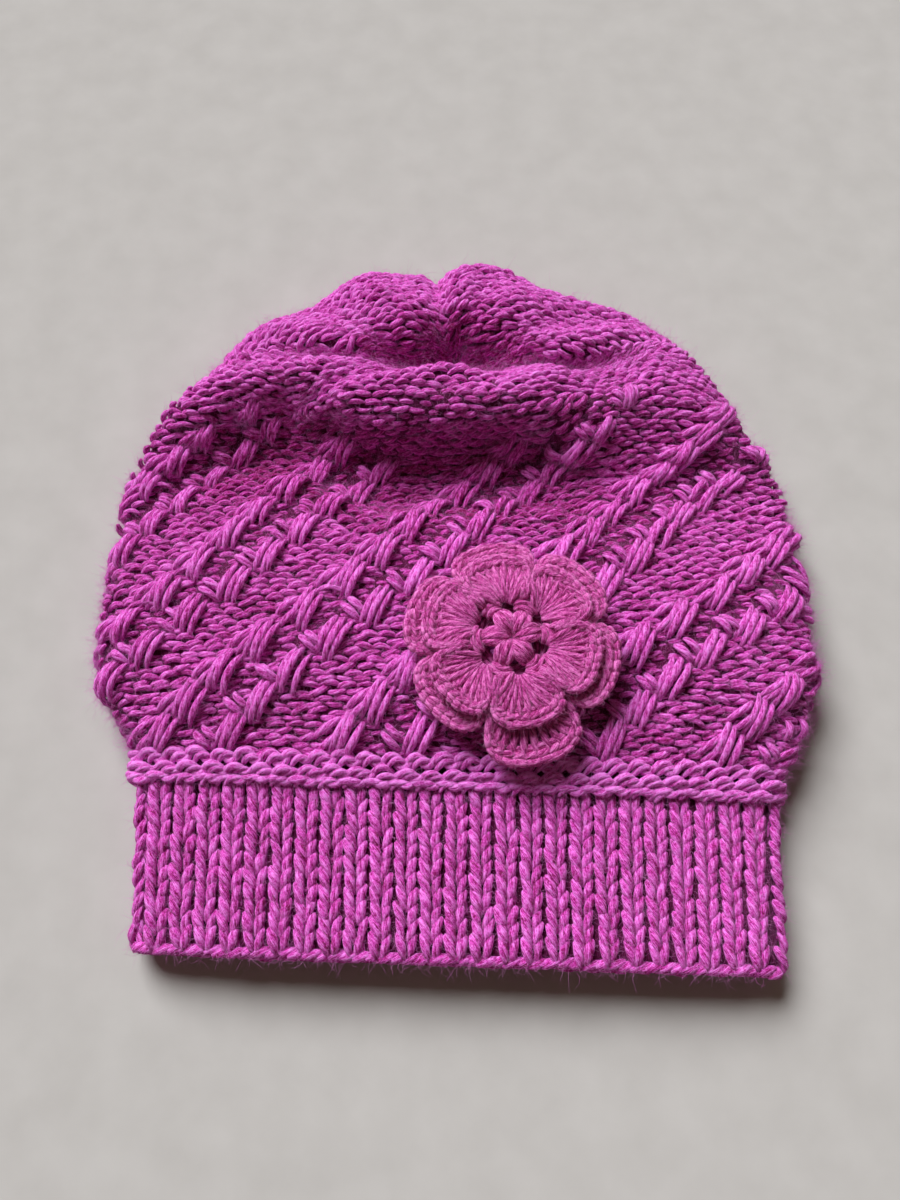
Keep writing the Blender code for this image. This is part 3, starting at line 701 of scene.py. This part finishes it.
def build_ropes(cloth, knit):
    """The spiral bands: pairs of travelling ropes of long leaning strands, rising into the crown."""
    yarn = Yarn("spiral_ropes", 7)
    t = np.linspace(0, 1, 9)
    taper = 0.25 + 0.75 * np.sin(math.pi * (0.06 + 0.88 * t)) ** 0.7
    arch = np.sin(math.pi * (0.02 + 0.96 * t)) ** 0.6
    steps = cloth.front_rows(WELT_END + 0.008, 0.82, 14)
    at = np.repeat(steps, BAND_COUNT)
    following = np.repeat(np.append(steps[1:], 0.85), BAND_COUNT)
    number = np.repeat(np.arange(len(steps)), BAND_COUNT)
    band = np.tile(np.arange(BAND_COUNT), len(steps))
    count = len(at)

    def across_hat(ats, place):
        """Shares of a rope's steps, spread where the hat is narrower so that the ropes run straight."""
        share = place / BAND_COUNT + twist(ats)
        narrow = np.maximum(0, cloth.girth(0.45) / cloth.girth(np.minimum(ats, 0.45)) - 1)
        return share + narrow * np.sin(2 * math.pi * share) / (2 * math.pi)

    def strands(chosen, place, line, width, lift):
        ats, later = at[chosen], following[chosen]
        share = across_hat(ats, band[chosen] + place)
        here = cloth.place(ats, share, 0)[0]
        there = cloth.place(later, across_hat(later, band[chosen] + place), 0)[0]
        crowded = (np.linalg.norm(there - here, axis=1) < 9.5 * MM) & (number[chosen] % 2 == 1)
        clear = (cloth.behind_edge(ats, share) < -4) & ~crowded
        ats, share = ats[clear], share[clear]
        fade = np.clip((0.90 - ats) / 0.2, 0.35, 1)[:, None]
        flat = smooth_line(line, len(t))
        jitter = random.normal(0, 0.5, (4, len(ats), 1))
        across = (flat[:, 0] * fade + jitter[0] + jitter[3] * (t - 0.5)) * MM
        up = (flat[:, 1] * fade * cloth.stretch(ats, share)[:, None] + jitter[1]) * MM
        depth = (1.5 + (lift - 1.5 + 0.5 * jitter[2]) * fade * arch) * MM
        path, normal = cloth.near(ats, share, across, up, depth, square=True)
        size = (1 + random.normal(0, 0.07, (len(ats), 1))) * taper * 0.9 * width * MM * (0.5 + 0.5 * fade)
        # Painted light and painted shade: the raised ropes are tinted lighter than the ground, and darker
        # where the cloth notes painted shade.
        tint = random.normal(0.6, 0.45, len(ats)) - 1.9 * cloth.shade(ats, share)
        yarn.add(path, normal, size, 0.8 * size, tint)

    for place, unit in ROPES:
        for line, width, lift in unit:
            strands(np.arange(count), place, line, width, lift)
    strands(np.flatnonzero(random.random(count) < 0.35), ROPES[0][0], LADDER_STRAND, 1.0, 4.0)
    yarn.build(knit, "magenta_knit")
    return yarn


def build_gather(cloth, knit):
    """The yarn end that draws the crown together: two rounds of it, and the last stitches pulled into it."""
    yarn = Yarn("gather_loop", 7)
    turn = np.linspace(0, 4 * math.pi, 60)
    path, normal = cloth.place(0.995 - 0.004 * turn / math.pi, turn / (2 * math.pi),
                               (1.2 + 0.5 * np.sin(3 * turn)) * MM)
    yarn.add(path[None], normal[None], 1.2 * MM, 1.2 * MM)
    count = 8
    t = np.linspace(0, 1, 8)[:, None]
    share = (np.arange(count) + 0.5) / count
    foot = cloth.place(np.full(count, 0.985), share, np.full(count, 1.6 * MM))[0]
    middle = foot.mean(axis=0)
    reach = random.uniform(0.72, 0.9, (count, 1, 1))
    path = foot[:, None] + (middle - foot)[:, None] * t * reach
    path[..., 2] += (0.6 * np.sin(math.pi * t[:, 0]) - 5.0 * t[:, 0]) * MM
    upward = np.broadcast_to([0, 0, 1.0], path.shape)
    # Painted shade: the stitches pulled into the gather are tinted darker.
    yarn.add(path, upward, 1.6 * MM, 1.4 * MM, random.normal(-1.5, 0.4, count))
    yarn.build(knit, "magenta_knit", "gather_yarn")


def build_shade_sleeve(cloth, knit):
    """The fabric behind the stitches: a thin closed sleeve that shuts out the light between strands; it is
    coloured dark, as painted shade between them.
    """
    stations_at = np.linspace(0.004, 1, 150)
    columns = 240
    share = np.arange(columns) / columns
    outside = [cloth.place(np.full(columns, at), share, 1.5 * MM)[0] for at in stations_at]
    inside = [cloth.place(np.full(columns, at), share, 0.5 * MM)[0] for at in stations_at[::-1]]
    rings = np.stack(outside + inside)
    rings[..., 2] = np.maximum(rings[..., 2], 0.2 * MM)
    count = len(rings)
    i, k = np.meshgrid(np.arange(count), np.arange(columns), indexing="ij")
    here, after, beside = i * columns, (i + 1) % count * columns, (k + 1) % columns
    faces = np.stack([here + k, here + beside, after + beside, after + k], axis=-1)
    mesh = bpy.data.meshes.new("painted_shade_sleeve")
    mesh.from_pydata(rings.reshape(-1, 3).tolist(), [], faces.reshape(-1, 4).tolist())
    along = np.stack([i, i, i + 1, i + 1], axis=-1).reshape(-1)
    round_it = np.stack([k, k + 1, k + 1, k], axis=-1).reshape(-1)
    for layer, scale in (("OFBake", (1 / columns, 1 / count)), ("yarn", (0.7, 1.8))):
        uv = mesh.uv_layers.new(name=layer)
        flat = np.column_stack([round_it * scale[0], along * scale[1]])
        uv.data.foreach_set("uv", flat.astype(np.float32).ravel())
    # Tinted darker still: painted shade.
    mesh.attributes.new("tint", "FLOAT", "POINT").data.foreach_set(
        "value", np.full(len(mesh.vertices), -0.9, np.float32))
    mesh.shade_smooth()
    dress(mesh, knit, "magenta_knit")


class FlowerBed:
    """The eased surface that the flower lies on, read from the underside of its back ring."""

    def __init__(self):
        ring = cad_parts["flower_back_ring"]
        spots = np.array([vertex.co for vertex in ring.data.vertices])
        low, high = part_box("flower_back_ring")
        self.middle = np.array([0.5 * (low.x + high.x), 0.5 * (low.y + high.y)])
        flat = spots[:, :2] - self.middle
        reach = np.hypot(flat[:, 0], flat[:, 1])
        corner = 0.25 * RING_HEIGHT
        kept, heights = [], []
        for radius in (RING_INNER + corner, RING_OUTER - corner):
            chosen = np.flatnonzero(np.abs(reach - radius) < 0.05 * MM)
            turn = np.round(np.degrees(np.arctan2(flat[chosen, 1], flat[chosen, 0]))).astype(int) % 360
            for value in np.unique(turn):
                same = chosen[turn == value]
                kept.append(flat[same[0]])
                heights.append(spots[same, 2].min())
        kept = np.array(kept)
        self.factors = np.linalg.lstsq(self.terms(kept[:, 0], kept[:, 1]), np.array(heights), rcond=None)[0]

    @staticmethod
    def terms(across, up):
        return np.stack([np.ones_like(across), across, up, across**2, across * up, up**2], axis=-1)

    def place(self, radius, turn, height):
        """Points by radius and height in millimetres and turn in radians, with the bed's upward direction."""
        across, up = radius * MM * np.cos(turn), radius * MM * np.sin(turn)
        base = self.terms(across, up) @ self.factors
        points = np.stack([self.middle[0] + across, self.middle[1] + up, base + height * MM], axis=-1)
        one, two, across_twice, mixed, up_twice = self.factors[1:]
        slope_x = one + 2 * across_twice * across + mixed * up
        slope_y = two + mixed * across + 2 * up_twice * up
        return points, unit(np.stack([-slope_x, -slope_y, np.ones_like(across)], axis=-1))


def petal_rim(t, reach, root, half):
    """Radius and angle off the petal's axis along its rim, from -1 at one side to 1 at the other."""
    angle = half * np.sin(0.5 * math.pi * t) * (1 - 0.04 * np.abs(t))
    radius = reach - (reach - root) * np.abs(t) ** 3.2
    return radius, angle


def build_petal(bed, yarn, axis, reach, root, hole, layer, half, posts):
    """One petal: posts fanned from its hole, edged by three rows of slanted strands."""
    s = np.linspace(0, 1, 8)
    spread = np.linspace(-1, 1, posts)[:, None]
    rim_radius, rim_angle = petal_rim(0.92 * spread, reach - 1.6, root, half)
    hole_radius = hole + 0.9 * (1 - spread**2)
    hole_angle = spread * 2.3 / hole
    radius = hole_radius + (rim_radius - hole_radius) * s
    angle = hole_angle + (rim_angle - hole_angle) * s**0.8
    curl = 1.3 * np.sin(math.pi * s**0.7) * (0.6 + 0.4 * spread**2)
    height = layer + 0.1 + curl + 2.0 * (radius / 40) ** 2 + 1.2 * spread**2 * s
    jitter = random.normal(0, 0.12, (posts, 1))
    path, normal = bed.place(radius, axis + angle + 0.02 * jitter, height + jitter)
    width = (0.95 + 0.75 * s) * np.sin(math.pi * (0.16 + 0.62 * s)) ** 0.5 * MM
    yarn.add(path, normal, width, 1.15 * width, random.normal(0, 0.5, posts))

    chain = 16
    run = np.linspace(-0.5, 0.5, 7)
    t = np.linspace(-1, 1, chain)[:, None] + 2.9 * run / chain
    for inset, lift, lean, thick, tint in RIM_ROWS:
        rim_radius, rim_angle = petal_rim(np.clip(t, -1.12, 1.12), reach - inset, root - 0.5 * inset, half)
        radius = rim_radius + lean * run
        height = layer + lift + 2.0 * (radius / 40) ** 2 + 1.3 * t**2 - 0.44 * (2 * run) ** 4
        jitter = random.normal(0, 0.15, (2, chain, 1))
        path, normal = bed.place(radius + jitter[0], axis + rim_angle, height + jitter[1])
        width = thick * (1 - 0.45 * np.abs(2 * run) ** 3) * MM
        yarn.add(path, normal, width, 0.95 * width, random.normal(tint, 0.5, chain))


# Rows of a petal's rim, in millimetres: how far in, lift, lean and half width of the strands, and their tint
# (painted light on the outer row, painted shade on the inner).
RIM_ROWS = ((0.4, 0.8, 0.9, 1.6, 0.7), (2.6, 1.0, -0.8, 1.5, 0.3), (4.9, 0.3, 0.6, 1.5, -0.5))
BACK_PETALS_LONGER = (0.0, 0.4, 0.6, 5.5, -0.3, 0.2)
PETAL_AXES = np.radians([102, 42, -18, -78, -138, 162])
SPOKES = np.radians([113, 59, 13, -57, -113, 180])
HOLES = np.radians([96, 34, -22, -77, -140, 150])


def build_flower(crochet):
    """The crocheted flower: back ring and long petals, upper petals, and the star of its open centre."""
    bed = FlowerBed()
    back = Yarn("flower_back_petals")
    front = Yarn("flower_front_petals")
    for axis, longer in zip(PETAL_AXES, BACK_PETALS_LONGER):
        build_petal(bed, back, axis, reach=35.6 + longer, root=23.0, hole=14.5, layer=1.5,
                    half=math.radians(29.0), posts=13)
        build_petal(bed, front, axis, reach=29.6, root=19.0, hole=12.2, layer=5.2,
                    half=math.radians(29.5), posts=11)
    back.build(crochet, "rose_crochet", *numbered("flower_back_petal"))
    front.build(crochet, "rose_crochet", *numbered("flower_front_petal"))

    star = Yarn("flower_star", 7)
    s = np.linspace(0, 1, 8)
    for spoke in SPOKES:
        for side in (-1, 0, 1):
            radius = 0.8 + 8.9 * s
            aside = side * 2.1 * np.sin(math.pi * (0.08 + 0.72 * s))
            height = 4.6 + 2.9 * np.sin(math.pi * (0.06 + 0.86 * s)) ** 0.8 - 0.5 * abs(side)
            path, normal = bed.place(np.hypot(radius, aside), spoke + np.arctan2(aside, radius), height)
            width = (0.65 + 1.0 * np.sin(math.pi * (0.05 + 0.8 * s))) * MM
            star.add(path[None], normal[None], width, 0.9 * width, random.normal(0, 0.5, 1))
    t = np.linspace(-1, 1, 8)
    order = np.sort(np.mod(HOLES, 2 * math.pi))
    for first, second in zip(order, np.roll(order, -1)):
        gap = np.mod(second - first, 2 * math.pi)
        middle = first + 0.5 * gap
        reach = 0.5 * gap - 0.19
        for inner, lift in ((10.4, 6.0), (12.3, 6.2), (14.0, 5.6)):
            turn = middle + t * reach * (0.75 + 0.1 * (inner - 10))
            path, normal = bed.place(inner + 0.9 * np.cos(0.5 * math.pi * t), turn, lift - 1.4 * t**4)
            star.add(path[None], normal[None], 1.15 * MM, 1.05 * MM, random.normal(0, 0.5, 1))
    star.build(crochet, "rose_crochet", "flower_centre")

    ring = Yarn("flower_ring")
    turn = np.linspace(0, 2 * math.pi, 49)
    for radius, height in ((9.0, 1.2), (11.4, 1.5), (13.6, 1.2)):
        path, normal = bed.place(radius, turn, height)
        ring.add(path[None], normal[None], 1.25 * MM, 1.15 * MM)
    for k in range(6):
        low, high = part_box(f"sewing_stitch_{k + 1}")
        foot = np.array([0.5 * (low.x + high.x), 0.5 * (low.y + high.y), low.z])
        path = foot + np.linspace(0, 1, 5)[:, None] * np.array([0, 0, high.z - low.z])
        ring.add(path[None], np.tile([1.0, 0, 0], (1, 5, 1)), 0.9 * MM, 0.9 * MM)
    ring.build(crochet, "rose_crochet", "flower_back_ring", *numbered("sewing_stitch"))
    return [back, front, star]


def build_fuzz(name, yarns, count, length, material, slot, steepest=1.0):
    """Thin tapering hairs that stand off the yarn where it faces up, or only aside if steepest is low."""
    hairs = Yarn(name, 3)
    batches = [batch for yarn in yarns for batch in yarn.batches]
    total = sum(batch[0].shape[0] * batch[0].shape[1] for batch in batches)
    s = np.linspace(0, 1, 4)[:, None]
    radius = 0.036 * MM * (1.1 - 0.8 * s[:, 0])
    for path, tangent, side, up, across, deep, _ in batches:
        number = round(count * path.shape[0] * path.shape[1] / total)
        shown = np.argwhere((up[:, 1:-1, 2] > -0.25) & (up[:, 1:-1, 2] <= steepest))
        if not len(shown):
            continue
        spot = tuple((shown[random.integers(0, len(shown), number)] + (0, 1)).T)
        turn = random.uniform(-1.4, 1.4, (number, 1))
        out = up[spot] * np.cos(turn) + side[spot] * np.sin(turn)
        root = path[spot] + up[spot] * np.cos(turn) * deep[spot][:, None] + (
            side[spot] * np.sin(turn) * across[spot][:, None])
        way = 0.42 * out + tangent[spot] * random.normal(0, 0.9, (number, 1))
        way = unit(way + random.normal(0, 0.3, (number, 3)))
        bend = np.clip(random.normal(0, 0.8, (number, 1, 3)), -1.6, 1.6)
        curl = np.clip(random.normal(0, 1.3, (number, 1, 3)), -1.6, 1.6)
        size = length * MM * np.clip(np.exp(random.normal(0, 0.4, (number, 1))), 0.4, 1.5)
        hair = root[:, None] + size[:, None] * (s * way[:, None] + s**2 * bend + s * (1 - s) * curl)
        aside = np.cross(way, np.roll(way, 1, axis=1) * [1, -1, 1])
        hairs.add(hair, np.broadcast_to(aside[:, None], hair.shape), radius, radius)
    hairs.build(material, slot)


def make_studio():
    """A plain pale floor, window-soft light from the far left, and a weak fill."""
    floor = bpy.data.meshes.new("floor")
    half = 3.0
    corners = [(-half, -half, 0), (half, -half, 0), (half, half, 0), (-half, half, 0)]
    floor.from_pydata(corners, [], [(0, 1, 2, 3)])
    finish = Finish(bpy.data.materials.new("pale_floor"))
    place = finish.node("ShaderNodeTexCoord")["Object"]
    grain = finish.node("ShaderNodeTexNoise", None, Vector=place, Scale=60.0, Detail=4.0)["Fac"]
    stops = [(0.3, (0.50, 0.485, 0.46)), (0.7, (0.54, 0.525, 0.50))]
    colour = finish.node("ShaderNodeValToRGB", {"stops": stops}, grain)["Color"]
    floor.materials.append(finish.surface(Base_Color=colour, Roughness=1.0, Specular_IOR_Level=0.0))
    ground = add_object(floor)
    room = Finish(bpy.data.worlds.new("room"), "Background")
    ray = room.node("ShaderNodeLightPath")
    seen = ray["Is Camera Ray"] + ray["Is Glossy Ray"] + ray["Is Transmission Ray"]
    seen = seen.math("MINIMUM", 1.0)
    fill_colour, wall_colour = (1.0, 0.72, 0.55, 1), (1.0, 0.96, 0.93, 1)
    fill, wall = 0.10, 0.70
    colour = room.node("ShaderNodeMixRGB", None, seen, fill_colour, wall_colour)["Color"]
    bpy.context.scene.world = room.surface(Color=colour, Strength=fill + seen * (wall - fill))
    window = bpy.data.lights.new("window", "SUN")
    window.energy, window.angle, window.color = 4.5, math.radians(34), (0.96, 0.97, 1.0)
    shining = Vector((1.05, -1.80, -1.95))
    add_object(window).rotation_euler = shining.to_track_quat("-Z", "Y").to_euler()


def make_camera():
    """Held above the brim and tilted 20 degrees off straight down."""
    tilt, distance = math.radians(20), 0.335
    aim = Vector((-0.002, 0.127 + hat_shift[1], 0))
    camera = bpy.data.cameras.new("camera")
    camera.lens, camera.sensor_width = 26.1, 36
    holder = add_object(camera)
    holder.location = aim + distance * Vector((0, -math.sin(tilt), math.cos(tilt)))
    holder.rotation_euler = (tilt, 0, 0)
    bpy.context.scene.camera = holder


bpy.context.scene.view_settings.view_transform = "Standard"
make_camera()
make_studio()
blush, pink = (1.0, 0.45, 0.92), (1.0, 0.48, 0.85)
magenta = yarn_finish("magenta_knit_yarn", shadow=(0.23, 0.004, 0.08), body=(0.74, 0.068, 0.53),
                      light=(1.0, 0.30, 0.92), sheen=blush)
# A dark copy of the knit yarn: painted shade for the sleeve behind the stitches.
shade = yarn_finish("magenta_knit_shade", shadow=(0.05, 0.001, 0.020), body=(0.13, 0.007, 0.06),
                    light=(0.24, 0.020, 0.13), sheen=blush)
rose = yarn_finish("rose_crochet_yarn", shadow=(0.18, 0.005, 0.06), body=(0.60, 0.060, 0.35),
                   light=(0.97, 0.26, 0.70), sheen=pink)
hat_cloth = Cloth()
build_shade_sleeve(hat_cloth, shade)
brim = [build_rib(hat_cloth, magenta), build_welt(hat_cloth, magenta)]
body = [*build_ground(hat_cloth, magenta), build_ropes(hat_cloth, magenta)]
build_gather(hat_cloth, magenta)
flower = build_flower(rose)
magenta_fuzz = fuzz_finish("magenta_knit_fuzz", (0.66, 0.12, 0.52), blush)
rose_fuzz = fuzz_finish("rose_crochet_fuzz", (0.58, 0.09, 0.36), pink)
hairs = 8200
tufts = [("rib_fuzz_1", brim[:1], 2.0, 1.0), ("rib_fuzz_2", brim, 2.0, 1.0)]
tufts += [(f"body_fuzz_{number}", [yarn], 2.4, 1.0) for number, yarn in enumerate(body, 1)]
tufts += [("edge_fuzz_1", body[:3], 2.1, 0.5), ("edge_fuzz_2", body[3:], 2.1, 0.5)]
for name, yarns, length, steepest in tufts:
    build_fuzz(name, yarns, hairs, length, magenta_fuzz, "magenta_knit", steepest)
build_fuzz("flower_fuzz", flower, 6000, 1.7, rose_fuzz, "rose_crochet")
